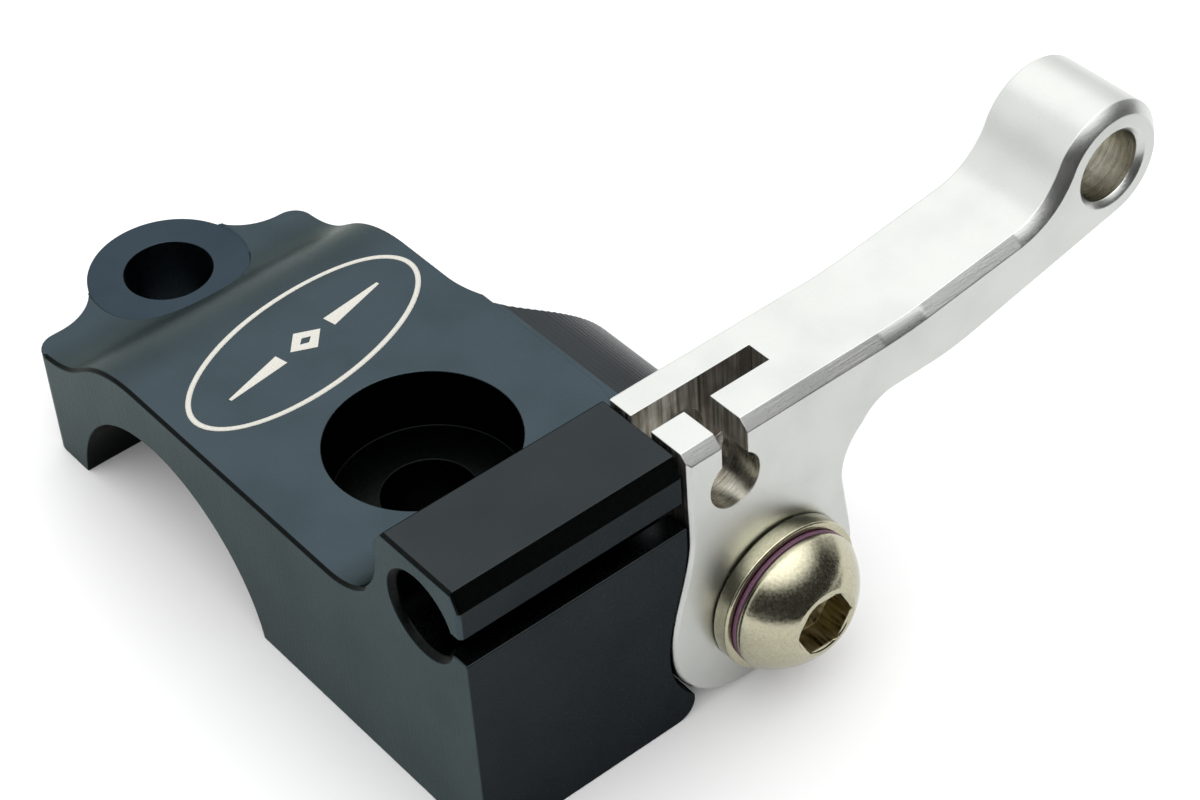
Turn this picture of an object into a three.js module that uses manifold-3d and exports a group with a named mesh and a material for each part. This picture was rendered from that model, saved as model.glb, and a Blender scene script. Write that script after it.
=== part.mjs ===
// Auxiliary cable lever on a handlebar half clamp: a machined clamp block with a cable-housing ridge,
// and a short thumb lever that turns on a button-head screw in the block's pivot lug.
// Millimetres, +Z up. X runs along the handlebar, Y across it, and z = 0 is the clamp's split face.
import * as THREE from "three";
import { mergeVertices } from "three/addons/utils/BufferGeometryUtils.js";
import Module from "manifold-3d";

const wasm = await Module();
wasm.setup();

// ---- driving dimensions -------------------------------------------------------------------------

const BAR = { radius: 11.2, drop: 1.45 }; // saddle for a 22.2 mm bar, its axis below the split face
const CLAMP = {
  left: -11.84, // side faces of the clamp
  right: 11.3,
  farEnd: 15.65, // flat far end beside the bolt boss
  front: -35.88,
  cornerRadius: 1.6,
  shelfZ: 9.22, // top around the far bolt
  plateauZ: 13.9, // top over the bar
};
const BOLT = {
  farY: 16.05,
  farSeatZ: 9.1,
  nearY: -15.4,
  nearSeatZ: 8.95,
  holeRadius: 3.27, // clearance for M6
  bossRadius: 5.95,
  neckRadius: 4.4, // concave rounds on both sides of the boss
  pocketRadius: 6.7, // counterbore of the near bolt
};
const SLOPE = { angle: 36, lowRadius: 9, highRadius: 11.65, topY: 1.6 }; // shelf up to plateau
const RIDGE = {
  right: 5.45,
  top: 22.5,
  wallY: -27.1,
  rearTopY: -28.15,
  frontTopY: -34.9,
  frontY: -35.55, // set back from the block's front face
  bevelZ: 21.05,
  filletRadius: 6.3,
  bottomCorner: 1.5,
};
const CABLE = { y: -31.4, z: 17.9, boreRadius: 2.88, mouthRadius: 3.3, slotHeight: 1.9 };
const PIVOT = { x: 12.65, z: 6.89 };
const LUG = {
  radius: 6.55,
  faceY: -27.55, // the face that the bushing's flange bears on
  rearY: -12.2,
  filletRadius: 9,
  stepX: 11.95, // edge of the plateau where it steps down to the lug
  stepY: -18.6,
  threadRadius: 3.05,
};
const LEVER = {
  front: -35.88,
  rear: -28.15,
  left: 5.75,
  top: 22.55,
  chamfer: 0.8, // along the arm's front edges and round the tip
  edgeBreak: 0.25, // all other edges
  hubRadius: 6.75,
  bore: 4.07,
};
const HEEL = { x: 10.0, z: 6.25, radius: 6.1, bulgeTopZ: 15.7, bulgeEndZ: 6.7 };
const THROAT = { x: 23.05, z: 12.85, radius: 4.4, chamferRadius: 2.7 }; // hollow between hub and arm
const ARM = { topBendX: 24, topRise: 7.4, underBendX: 28.2, underRise: 12.5, bendReach: 2 };
const TIP = { x: 42.5, z: 25.1, radius: 4.7, neckRadius: 5.2, holeRadius: 2.62, countersink: 0.4 };
const LEVER_SLOT = { width: 1.9, floorZ: 16.5, floorEndX: 11.5, endX: 15.5 }; // for the cable
const LEVER_ENTRY = { x: 9.5, width: 2.1 }; // gap from the front face into the slot
const BARREL = { x: 9.46, z: 18.43, radius: 2.03, rearY: -29.6 }; // seat of the cable's end
const STOP_GAP = 0.3; // between the lever's heel and the clamp
const BUSH = { radius: 3.98, inner: 3.05, flangeRadius: 5.5, flangeFace: -28.1, front: -35.93 };
const WASHER = { radius: 5.6, inner: 3.2, thickness: 1.23 };
const RING = { radius: 5.1, inner: 3.2, thickness: 0.32 };
const SCREW = {
  headRadius: 5.1,
  headHeight: 2.95,
  rim: 0.35,
  crown: 2.5, // radius of the flat in the middle of the head
  shank: 2.9,
  end: -14,
  acrossFlats: 4,
  socketDepth: 2,
  socketTurn: -4, // degrees
};
const FACE_GAP = 0.05; // between parts that bear on each other
const ROUND = 48; // segments of a bore or a shaft
const OVER = 1; // how far a cutting shape runs past the face that it cuts

// ---- shapes and booleans ------------------------------------------------------------------------

const rad = THREE.MathUtils.degToRad;
const HALF_TURN = Math.PI;
const QUARTER = Math.PI / 2;

function solid(geometry) {
  const bare = geometry.index ? geometry.toNonIndexed() : geometry.clone();
  bare.deleteAttribute("normal");
  bare.deleteAttribute("uv");
  const merged = mergeVertices(bare, 1e-4);
  return new wasm.Manifold(
    new wasm.Mesh({
      numProp: 3,
      vertProperties: merged.attributes.position.array,
      triVerts: new Uint32Array(merged.index.array),
    }),
  );
}

function meshOf(name, shape, material) {
  const made = shape.getMesh();
  const geometry = new THREE.BufferGeometry();
  geometry.setAttribute("position", new THREE.BufferAttribute(made.vertProperties, 3));
  geometry.setIndex(new THREE.BufferAttribute(made.triVerts, 1));
  geometry.computeVertexNormals();
  const mesh = new THREE.Mesh(geometry, material);
  mesh.name = name;
  return mesh;
}

function box(x0, x1, y0, y1, z0, z1) {
  const geometry = new THREE.BoxGeometry(x1 - x0, y1 - y0, z1 - z0);
  return solid(geometry.translate((x0 + x1) / 2, (y0 + y1) / 2, (z0 + z1) / 2));
}

// Turned about its own Y axis from [radius, height] pairs, bottom to top, starting and ending on it.
function turned(profile, segments = ROUND) {
  const points = profile.map(([r, h]) => new THREE.Vector2(r, h));
  return new THREE.LatheGeometry(points, segments);
}

const rod = (radius, from, to, segments) =>
  turned([[0, from], [radius, from], [radius, to], [0, to]], segments);

// A turned shape stood up along Z, along Y or along X.
const upright = (geometry, x, y) => solid(geometry.rotateX(QUARTER).translate(x, y, 0));
const across = (geometry, x, z) => solid(geometry.translate(x, 0, z));
const barwise = (geometry, y, z) => solid(geometry.rotateZ(-QUARTER).translate(0, y, z));

function extruded(shape, depth, bevel = 0) {
  return new THREE.ExtrudeGeometry(shape, {
    depth: depth - 2 * bevel,
    curveSegments: 14,
    bevelEnabled: bevel > 0,
    bevelThickness: bevel,
    bevelSize: bevel,
    bevelOffset: -bevel,
    bevelSegments: 1,
  }).translate(0, 0, bevel);
}

// A side view drawn in X and Z, extruded along Y.
const alongY = (shape, y0, y1, bevel) =>
  solid(extruded(shape, y1 - y0, bevel).rotateX(QUARTER).translate(0, y1, 0));

// A plan drawn in X and Y, extruded up Z.
const alongZ = (shape, z0, z1) => solid(extruded(shape, z1 - z0).translate(0, 0, z0));

// An end view drawn in Y and Z, extruded along X.
function alongX(shape, x0, x1) {
  const [x, y, z] = [new THREE.Vector3(1, 0, 0), new THREE.Vector3(0, 1, 0), new THREE.Vector3(0, 0, 1)];
  const turn = new THREE.Matrix4().makeBasis(y, z, x);
  return solid(extruded(shape, x1 - x0).applyMatrix4(turn).translate(x0, 0, 0));
}

// ---- clamp block --------------------------------------------------------------------------------

// End view of the block: front, ridge, fillet, plateau, slope and shelf.
function clampEndView() {
  const { angle, lowRadius, highRadius, topY } = SLOPE;
  const turn = rad(angle);
  const rise = CLAMP.plateauZ - CLAMP.shelfZ;
  const straightRise = rise - (lowRadius + highRadius) * (1 - Math.cos(turn));
  const highEndY = topY + highRadius * Math.sin(turn);
  const shelfStartY = highEndY + straightRise / Math.tan(turn) + lowRadius * Math.sin(turn);
  const farY = BOLT.farY + BOLT.bossRadius + OVER;
  const shape = new THREE.Shape();
  shape.moveTo(CLAMP.front, 0);
  shape.lineTo(farY, 0);
  shape.lineTo(farY, CLAMP.shelfZ);
  shape.absarc(shelfStartY, CLAMP.shelfZ + lowRadius, lowRadius, -QUARTER, -QUARTER - turn, true);
  shape.absarc(topY, CLAMP.plateauZ - highRadius, highRadius, QUARTER - turn, QUARTER, false);
  const filletY = RIDGE.wallY + RIDGE.filletRadius;
  const filletZ = CLAMP.plateauZ + RIDGE.filletRadius;
  shape.absarc(filletY, filletZ, RIDGE.filletRadius, -QUARTER, -HALF_TURN, true);
  shape.lineTo(RIDGE.wallY, RIDGE.bevelZ);
  shape.lineTo(RIDGE.rearTopY, RIDGE.top);
  shape.lineTo(RIDGE.frontTopY, RIDGE.top);
  shape.lineTo(RIDGE.frontY, RIDGE.bevelZ);
  shape.lineTo(RIDGE.frontY, CABLE.z);
  shape.lineTo(CLAMP.front, CABLE.z);
  return shape;
}

// Centre of the concave round that joins the side of the clamp to the back of the lug.
const LUG_FILLET = { x: CLAMP.right + LUG.filletRadius, y: LUG.rearY + LUG.filletRadius };

// Plan of the block: the far end necks in to the bolt boss, and the right side steps in at the ridge.
function clampPlan() {
  const { left, right, farEnd, front, cornerRadius: corner } = CLAMP;
  const { bossRadius, farY, neckRadius } = BOLT;
  const neckY = farEnd + neckRadius;
  const neckX = Math.sqrt((bossRadius + neckRadius) ** 2 - (neckY - farY) ** 2);
  const meet = Math.atan2(neckY - farY, neckX);
  const stepMeet = Math.acos((LUG_FILLET.x - LUG.stepX) / LUG.filletRadius);
  const shape = new THREE.Shape();
  shape.moveTo(left, front);
  shape.lineTo(RIDGE.right, front);
  const stepRadius = LUG.stepX - RIDGE.right;
  shape.absarc(RIDGE.right, LUG.stepY, stepRadius, -QUARTER, 0, false);
  shape.absarc(LUG_FILLET.x, LUG_FILLET.y, LUG.filletRadius, HALF_TURN + stepMeet, HALF_TURN, true);
  shape.absarc(right - corner, farEnd - corner, corner, 0, QUARTER, false);
  shape.absarc(neckX, neckY, neckRadius, -QUARTER, -HALF_TURN + meet, true);
  shape.absarc(0, farY, bossRadius, meet, HALF_TURN - meet, false);
  shape.absarc(-neckX, neckY, neckRadius, -meet, -QUARTER, true);
  shape.absarc(left + corner, farEnd - corner, corner, QUARTER, HALF_TURN, false);
  return shape;
}

// The lug stands behind the lever's hub: a round about the pivot that runs back into the clamp.
function pivotLug() {
  const { radius } = LUG;
  const inside = RIDGE.right - 3;
  const outside = PIVOT.x + radius + OVER;
  const round = new THREE.Shape();
  round.moveTo(inside, PIVOT.z - radius);
  round.absarc(PIVOT.x, PIVOT.z, radius, -QUARTER, QUARTER, false);
  round.lineTo(inside, PIVOT.z + radius);
  const plan = new THREE.Shape();
  plan.moveTo(inside, LUG.faceY - OVER);
  plan.lineTo(outside, LUG.faceY - OVER);
  plan.lineTo(outside, LUG.rearY);
  plan.absarc(LUG_FILLET.x, LUG_FILLET.y, LUG.filletRadius, -QUARTER, -HALF_TURN, true);
  plan.lineTo(inside, LUG_FILLET.y);
  return alongY(round, LUG.faceY, LUG_FILLET.y).intersect(alongZ(plan, -OVER, RIDGE.top));
}

// Room for the lever's heel in the block's right side.
function heelPocket() {
  const { x, z, radius, bulgeTopZ } = HEEL;
  const right = LEVER.left - STOP_GAP;
  const reach = radius + STOP_GAP;
  const leave = Math.acos((x - right) / reach);
  const shape = new THREE.Shape();
  shape.moveTo(right + OVER, bulgeTopZ);
  shape.lineTo(right, bulgeTopZ);
  heelCurve(shape, right, x - reach);
  shape.absarc(x, z, reach, HALF_TURN, HALF_TURN + leave, false);
  shape.lineTo(right + OVER, z - reach * Math.sin(leave));
  return alongY(shape, CLAMP.front - OVER, LUG.faceY);
}

// The long curve from a straight side out to the heel's bulge.
function heelCurve(shape, straightX, bulgeX) {
  const { bulgeTopZ, bulgeEndZ } = HEEL;
  const pull = (bulgeTopZ - bulgeEndZ) / 3;
  shape.bezierCurveTo(straightX, bulgeTopZ - pull, bulgeX, bulgeEndZ + pull, bulgeX, bulgeEndZ);
}

// The block's rounded bottom edge beside the lever.
function bottomCorner() {
  const { right, bottomCorner: corner } = RIDGE;
  const shape = new THREE.Shape();
  shape.moveTo(right - corner, -OVER);
  shape.lineTo(right + OVER, -OVER);
  shape.lineTo(right + OVER, corner);
  shape.lineTo(right, corner);
  shape.absarc(right - corner, corner, corner, 0, -QUARTER, true);
  return alongY(shape, CLAMP.front - OVER, LUG.faceY);
}

// Bore for the cable's housing, with a chamfered mouth and a slot to lay the cable in from the front.
function cableWay() {
  const { y, z, boreRadius, mouthRadius, slotHeight } = CABLE;
  const depth = mouthRadius - boreRadius;
  const { left } = CLAMP;
  const outer = mouthRadius + OVER;
  const bore = turned([
    [0, left - OVER],
    [outer, left - OVER],
    [boreRadius, left + depth],
    [boreRadius, RIDGE.right + OVER],
    [0, RIDGE.right + OVER],
  ]);
  const half = slotHeight / 2;
  const slot = box(left - OVER, RIDGE.right + OVER, CLAMP.front - OVER, y, z - half, z + half);
  return barwise(bore, y, z).add(slot);
}

function clampBody() {
  const { farY, farSeatZ, nearY, nearSeatZ, holeRadius, bossRadius, pocketRadius } = BOLT;
  const block = alongX(clampEndView(), CLAMP.left - OVER, LUG.stepX + OVER);
  const body = block.intersect(alongZ(clampPlan(), -OVER, RIDGE.top + OVER)).add(pivotLug());
  const cuts = [
    barwise(rod(BAR.radius, CLAMP.left - OVER, LUG_FILLET.x, 96), 0, -BAR.drop),
    upright(rod(holeRadius, -OVER, RIDGE.top), 0, farY),
    upright(rod(bossRadius + FACE_GAP, farSeatZ, RIDGE.top), 0, farY),
    upright(rod(holeRadius, -OVER, RIDGE.top), 0, nearY),
    upright(rod(pocketRadius, nearSeatZ, RIDGE.top, 64), 0, nearY),
    cableWay(),
    heelPocket(),
    bottomCorner(),
    across(rod(LUG.threadRadius, LUG.faceY - OVER, LUG.rearY + OVER), PIVOT.x, PIVOT.z),
  ];
  return cuts.reduce((left, cut) => left.subtract(cut), body);
}

// ---- lever --------------------------------------------------------------------------------------

// Side view of the lever: heel and hub, then the throat and the arm.
function leverSideView() {
  const { left, top, hubRadius } = LEVER;
  const shape = new THREE.Shape();
  shape.moveTo(left, top);
  shape.lineTo(left, HEEL.bulgeTopZ);
  heelCurve(shape, left, HEEL.x - HEEL.radius);
  shape.absarc(HEEL.x, HEEL.z, HEEL.radius, HALF_TURN, 3 * QUARTER, false);

  // Straight cheek between the hub's round and the throat's hollow, touching both.
  const dx = THROAT.x - PIVOT.x;
  const dz = THROAT.z - PIVOT.z;
  const lean = Math.atan2(dz, dx) + Math.acos(-(hubRadius + THROAT.radius) / Math.hypot(dx, dz));
  shape.absarc(PIVOT.x, PIVOT.z, hubRadius, -QUARTER, lean - HALF_TURN, false);
  shape.absarc(THROAT.x, THROAT.z, THROAT.radius, lean, QUARTER, true);
  drawArm(shape);
  return shape;
}

// The same arm on a wider base, so that the broad chamfer fades out through the throat.
function chamferView() {
  const { x, z, radius, chamferRadius } = THROAT;
  const clear = HEEL.x - HEEL.radius - OVER;
  const shape = new THREE.Shape();
  shape.moveTo(clear, LEVER.top);
  shape.lineTo(clear, -OVER);
  shape.lineTo(x - chamferRadius, -OVER);
  shape.absarc(x, z + radius - chamferRadius, chamferRadius, HALF_TURN, QUARTER, true);
  drawArm(shape);
  return shape;
}

// From the top of the throat's hollow, under the arm, round the tip and back along the top.
function drawArm(shape) {
  const { top } = LEVER;
  const underZ = THROAT.z + THROAT.radius;
  const underRise = rad(ARM.underRise);
  const underEndZ = underZ + ARM.bendReach * Math.tan(underRise);
  shape.lineTo(ARM.underBendX - ARM.bendReach, underZ);
  shape.quadraticCurveTo(ARM.underBendX, underZ, ARM.underBendX + ARM.bendReach, underEndZ);

  // Hollow neck that touches the sloping top of the arm and the tip's round.
  const topRise = rad(ARM.topRise);
  const along = [Math.cos(topRise), Math.sin(topRise)];
  const up = [-along[1], along[0]];
  const toTip = [TIP.x - ARM.topBendX, TIP.z - top];
  const tipAlong = toTip[0] * along[0] + toTip[1] * along[1];
  const tipUp = toTip[0] * up[0] + toTip[1] * up[1];
  const span = TIP.radius + TIP.neckRadius;
  const neckAlong = tipAlong - Math.sqrt(span ** 2 - (TIP.neckRadius - tipUp) ** 2);
  const neckX = ARM.topBendX + neckAlong * along[0] + TIP.neckRadius * up[0];
  const neckZ = top + neckAlong * along[1] + TIP.neckRadius * up[1];
  const meet = Math.atan2(neckZ - TIP.z, neckX - TIP.x);
  shape.absarc(TIP.x, TIP.z, TIP.radius, underRise - QUARTER, meet, false);
  shape.absarc(neckX, neckZ, TIP.neckRadius, meet - HALF_TURN, topRise - QUARTER, true);
  shape.lineTo(ARM.topBendX + ARM.bendReach, top + ARM.bendReach * Math.tan(topRise));
  shape.quadraticCurveTo(ARM.topBendX, top, ARM.topBendX - ARM.bendReach, top);
}

// Saw slot for the cable, open at the top and at the heel, with a floor that runs out upwards.
function leverSlot() {
  const { width, floorZ, floorEndX, endX } = LEVER_SLOT;
  const above = LEVER.top + OVER;
  const shape = new THREE.Shape();
  shape.moveTo(LEVER.left - OVER, above);
  shape.lineTo(LEVER.left - OVER, floorZ);
  shape.lineTo(floorEndX, floorZ);
  shape.quadraticCurveTo(endX, floorZ, endX, LEVER.top - 1.5);
  shape.lineTo(endX, above);
  return alongY(shape, CABLE.y - width / 2, CABLE.y + width / 2);
}

// Gap that lets the cable drop in from the front face.
function leverEntry() {
  const half = LEVER_ENTRY.width / 2;
  const { x } = LEVER_ENTRY;
  return box(x - half, x + half, LEVER.front - OVER, CABLE.y, BARREL.z, LEVER.top + OVER);
}

function tipHole() {
  const { x, z, holeRadius, countersink } = TIP;
  const flare = holeRadius + countersink + OVER;
  const { front, rear } = LEVER;
  const profile = [
    [0, front - OVER],
    [flare, front - OVER],
    [holeRadius, front + countersink],
    [holeRadius, rear - countersink],
    [flare, rear + OVER],
    [0, rear + OVER],
  ];
  return across(turned(profile), x, z);
}

// Every edge is broken, and the arm has a broad chamfer at the front.
function leverBlank() {
  const { front, rear, chamfer, edgeBreak } = LEVER;
  const fine = alongY(leverSideView(), front, rear, edgeBreak);
  return fine.intersect(alongY(chamferView(), front, rear + 2 * chamfer, chamfer));
}

function lever() {
  const cuts = [
    leverSlot(),
    leverEntry(),
    across(rod(BARREL.radius, LEVER.front - OVER, BARREL.rearY), BARREL.x, BARREL.z),
    across(rod(LEVER.bore, LEVER.front - OVER, LEVER.rear + OVER, 64), PIVOT.x, PIVOT.z),
    tipHole(),
  ];
  return cuts.reduce((left, cut) => left.subtract(cut), leverBlank());
}

// ---- pivot hardware, stacked towards the front --------------------------------------------------

// Flanged bushing: the flange bears on the lug, and the lever turns on the barrel.
function bushing() {
  const { radius, inner, flangeRadius, flangeFace, front } = BUSH;
  const back = LUG.faceY - FACE_GAP;
  const profile = [
    [inner, front],
    [radius, front],
    [radius, flangeFace],
    [flangeRadius, flangeFace],
    [flangeRadius, back],
    [inner, back],
    [inner, front],
  ];
  return across(turned(profile, 64), PIVOT.x, PIVOT.z);
}

function flatRing({ radius, inner, thickness }, rear) {
  const front = rear - thickness;
  const profile = [[inner, front], [radius, front], [radius, rear], [inner, rear], [inner, front]];
  return across(turned(profile), PIVOT.x, PIVOT.z);
}

const WASHER_REAR = BUSH.front - FACE_GAP;
const RING_REAR = WASHER_REAR - WASHER.thickness - FACE_GAP;
const HEAD_REAR = RING_REAR - RING.thickness - FACE_GAP;

// Height of the dome's centre above the bearing face, and its radius.
function domeBall() {
  const { headRadius, headHeight, rim, crown } = SCREW;
  const height = (headHeight ** 2 + crown ** 2 - rim ** 2 - headRadius ** 2) / 2 / (headHeight - rim);
  return [height, Math.hypot(crown, headHeight - height)];
}

// Button head with a hexagon socket.
function screw() {
  const { headRadius, headHeight, crown, shank, end } = SCREW;
  const { acrossFlats, socketDepth, socketTurn } = SCREW;
  const frontY = HEAD_REAR - headHeight;
  // The dome is part of a sphere that runs through the crown's edge and the rim's edge.
  const [ballHeight, ballRadius] = domeBall();
  const crownTurn = Math.asin(crown / ballRadius);
  const rimTurn = Math.asin(headRadius / ballRadius);
  const domeSteps = 8;
  const dome = [];
  for (let i = 0; i <= domeSteps; i++) {
    const turn = crownTurn + ((rimTurn - crownTurn) * i) / domeSteps;
    dome.push([ballRadius * Math.sin(turn), HEAD_REAR - ballHeight - ballRadius * Math.cos(turn)]);
  }
  const profile = [
    [0, frontY],
    ...dome,
    [headRadius, HEAD_REAR],
    [shank, HEAD_REAR],
    [shank, end - 0.6],
    [shank - 0.6, end],
    [0, end],
  ];
  const socket = rod(acrossFlats / 2 / Math.cos(Math.PI / 6), frontY - OVER, frontY + socketDepth, 6);
  socket.rotateY(-QUARTER - rad(socketTurn));
  return across(turned(profile), PIVOT.x, PIVOT.z).subtract(across(socket, PIVOT.x, PIVOT.z));
}

// ---- assembly -----------------------------------------------------------------------------------

const finish = (color, roughness, metalness) =>
  new THREE.MeshStandardMaterial({ color, roughness, metalness });
const anodised = finish(0x2b3236, 0.45, 0.85);
const satinAluminium = finish(0xd2d2cc, 0.35, 1.0);
const bronze = finish(0xa8834a, 0.4, 1.0);
const stainless = finish(0xb8b19c, 0.22, 1.0);
const fibre = finish(0x4a3440, 0.6, 0.0);

const clutchLever = new THREE.Group();
clutchLever.name = "clutch_lever";
clutchLever.add(meshOf("clamp_body", clampBody(), anodised));

const leverPivot = new THREE.Group();
leverPivot.name = "lever_pivot";
leverPivot.add(meshOf("lever", lever(), satinAluminium));
leverPivot.add(meshOf("pivot_bushing", bushing(), bronze));
leverPivot.add(meshOf("pivot_washer", flatRing(WASHER, WASHER_REAR), stainless));
leverPivot.add(meshOf("head_ring", flatRing(RING, RING_REAR), fibre));
leverPivot.add(meshOf("pivot_screw", screw(), stainless));
clutchLever.add(leverPivot);

export default clutchLever;
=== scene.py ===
"""Auxiliary cable lever on a handlebar half clamp, seen from above and in front of its left side.

Shapes are made in millimetres in the part's own frame (X along the handlebar, Y across it, Z up from
the split face) and turned into metres when a piece is finished.
"""
import math

import bmesh
import bpy
from mathutils import Matrix, Vector

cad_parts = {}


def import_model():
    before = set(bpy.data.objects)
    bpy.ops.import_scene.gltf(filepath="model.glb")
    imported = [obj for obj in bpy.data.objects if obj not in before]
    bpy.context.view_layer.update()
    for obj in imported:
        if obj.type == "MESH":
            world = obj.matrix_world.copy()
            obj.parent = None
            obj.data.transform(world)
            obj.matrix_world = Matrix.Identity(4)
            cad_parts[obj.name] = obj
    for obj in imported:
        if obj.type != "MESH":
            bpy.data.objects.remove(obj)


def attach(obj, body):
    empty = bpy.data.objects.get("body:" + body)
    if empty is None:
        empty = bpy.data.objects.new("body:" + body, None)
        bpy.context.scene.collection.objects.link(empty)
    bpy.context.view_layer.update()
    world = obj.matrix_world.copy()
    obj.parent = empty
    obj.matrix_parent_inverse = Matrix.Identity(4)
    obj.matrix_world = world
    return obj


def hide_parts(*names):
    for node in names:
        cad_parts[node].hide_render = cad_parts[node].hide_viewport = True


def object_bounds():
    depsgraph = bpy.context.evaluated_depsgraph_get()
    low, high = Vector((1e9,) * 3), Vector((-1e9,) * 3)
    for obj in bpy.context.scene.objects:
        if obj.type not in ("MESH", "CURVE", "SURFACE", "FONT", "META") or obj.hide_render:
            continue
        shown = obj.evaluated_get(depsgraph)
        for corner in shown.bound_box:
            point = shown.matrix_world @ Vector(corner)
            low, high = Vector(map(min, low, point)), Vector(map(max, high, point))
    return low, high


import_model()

cad_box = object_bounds()
MM = 0.001
scene = bpy.context.scene

# ---- dimensions, in millimetres ------------------------------------------------------------------

# clamp block: the handlebar's saddle, the block, its two levels and the slope between them
BAR_RADIUS, BAR_DROP = 11.2, 1.45
LEFT, RIGHT, FRONT, FAR_END, CORNER = -11.84, 11.3, -35.88, 15.65, 1.6
SHELF_Z, PLATEAU_Z = 9.22, 13.9
SLOPE_ANGLE, SLOPE_LOW, SLOPE_HIGH, SLOPE_TOP_Y = 36.0, 9.0, 11.65, 1.6
BOTTOM_CORNER, LEFT_CHAMFER, CLAMP_ROUND = 1.5, 0.24, 0.1

# clamp screws: one in the round boss at the far end, one in the pocket of the plateau
HOLE_RADIUS, BOSS_RADIUS, NECK_RADIUS, POCKET_RADIUS = 3.27, 5.95, 4.4, 6.7
FAR_BOLT_Y, FAR_SEAT_Z, NEAR_BOLT_Y, NEAR_SEAT_Z = 16.05, 9.1, -15.4, 8.95

# ridge across the near end, and the cable's bore and slot in it
RIDGE_RIGHT, RIDGE_TOP, RIDGE_WALL_Y, RIDGE_FRONT_Y = 5.45, 22.5, -27.1, -35.55
RIDGE_REAR_TOP_Y, RIDGE_FRONT_TOP_Y, RIDGE_BEVEL_Z, RIDGE_FILLET = -28.15, -34.9, 21.05, 6.3
BORE_Y, BORE_Z, BORE_RADIUS, MOUTH_RADIUS, SLOT_HEIGHT = -31.4, 17.9, 2.88, 3.3, 1.9

# lug that holds the lever's pivot
PIVOT_X, PIVOT_Z, THREAD_RADIUS = 12.65, 6.89, 3.05
LUG_RADIUS, LUG_FACE_Y, LUG_REAR_Y, LUG_FILLET = 6.55, -27.55, -12.2, 9.0
LUG_FILLET_X, LUG_FILLET_Y = RIGHT + LUG_FILLET, LUG_REAR_Y + LUG_FILLET
CUTTER_STEPS, CUTTER_DEPTH = 118, 0.07
STEP_X, STEP_Y = 11.95, -18.6

# lever
LEVER_LEFT, LEVER_TOP, LEVER_FRONT, LEVER_REAR = 5.75, 22.55, -35.88, -28.15
BROAD_CHAMFER, EDGE_BREAK, LEVER_ROUND, HUB_RADIUS, LEVER_BORE = 0.8, 0.25, 0.06, 6.75, 4.07
HEEL_X, HEEL_Z, HEEL_RADIUS, BULGE_TOP_Z, BULGE_END_Z = 10.0, 6.25, 6.1, 15.7, 6.7
THROAT_X, THROAT_Z, THROAT_RADIUS, THROAT_FADE = 23.05, 12.85, 4.4, 2.7
TOP_BEND_X, TOP_RISE, UNDER_BEND_X, UNDER_RISE, BEND_REACH = 24.0, 7.4, 28.2, 12.5, 2.0
TIP_X, TIP_Z, TIP_RADIUS, TIP_NECK, TIP_HOLE, COUNTERSINK = 42.5, 25.1, 4.7, 5.2, 2.62, 0.4
SAW_WIDTH, SAW_FLOOR_Z, SAW_FLOOR_END_X, SAW_END_X, SAW_RUN_OUT = 1.9, 16.5, 11.5, 15.5, 1.5
ENTRY_X, ENTRY_WIDTH = 9.5, 2.1
BARREL_X, BARREL_Z, BARREL_RADIUS, BARREL_REAR_Y = 9.46, 18.43, 2.03, -29.6

# pivot: bushing, washer, ring and screw, from the lug forwards
BUSH_RADIUS, BUSH_INNER, FLANGE_RADIUS, FLANGE_FACE_Y, BUSH_FRONT_Y = 3.98, 3.05, 5.5, -28.1, -35.93
WASHER_RADIUS, WASHER_INNER, WASHER_THICK = 5.6, 3.2, 1.23
RING_RADIUS, RING_THICK = 5.1, 0.32
BUSH_ROUND, WASHER_ROUND, RING_ROUND, SCREW_ROUND = 0.05, 0.16, 0.1, 0.04
HEAD_BREAK, SHANK_CHAMFER, SOCKET_MOUTH = 0.1, 0.6, 0.1
HEAD_RADIUS, HEAD_HEIGHT, HEAD_RIM, CROWN, SHANK, SCREW_END_Y = 5.1, 2.95, 0.35, 2.5, 2.9, -14.0
SOCKET_FLATS, SOCKET_DEPTH, SOCKET_POINT, SOCKET_TURN = 4.0, 2.0, 0.8, -4.0
SOCKET_CORNER = SOCKET_FLATS / 2 / math.cos(math.pi / 6)

# etched mark on the plateau
MARK_CENTRE, MARK_TILT, MARK_SIZE, MARK_LINE = (0.05, -2.07), 11.6, (10.36, 4.74), 0.4
LOZENGE_INNER, LOZENGE_OUTER = (0.55, 0.35), (1.5, 1.15)
TAPER_NEAR, TAPER_FAR, TAPER_THICK, TAPER_THIN = 2.4, 7.4, 0.55, 0.12
MARK_SUNK, MARK_PROUD = -0.05, 0.015

OVER = 1.0  # how far a cutting shape runs past a face
STOP_GAP = 0.3  # between the lever's heel and the clamp
FACE_GAP = 0.05  # between pieces that rest on each other
CLEAR = 0.02  # keeps two surfaces apart, and slack when faces are picked by their place

WASHER_REAR = BUSH_FRONT_Y - FACE_GAP
RING_REAR = WASHER_REAR - WASHER_THICK - FACE_GAP
HEAD_REAR = RING_REAR - RING_THICK - FACE_GAP
HEAD_FRONT = HEAD_REAR - HEAD_HEIGHT
PIVOT = (PIVOT_X, 0, PIVOT_Z)


# ---- outlines ------------------------------------------------------------------------------------

def arc(cx, cy, radius, start, end, steps=24):
    """Points of an arc from one angle to another, in degrees, both ends included."""
    turns = [math.radians(start + (end - start) * i / steps) for i in range(steps + 1)]
    return [(cx + radius * math.cos(t), cy + radius * math.sin(t)) for t in turns]


def bend(a, corner, b, steps=10):
    """Points of a smooth bend from a to b that leans on a corner, without its first point."""
    made = []
    for i in range(1, steps + 1):
        t = i / steps
        made.append(tuple(
            (1 - t) ** 2 * p + 2 * t * (1 - t) * q + t * t * r for p, q, r in zip(a, corner, b)
        ))
    return made


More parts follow.
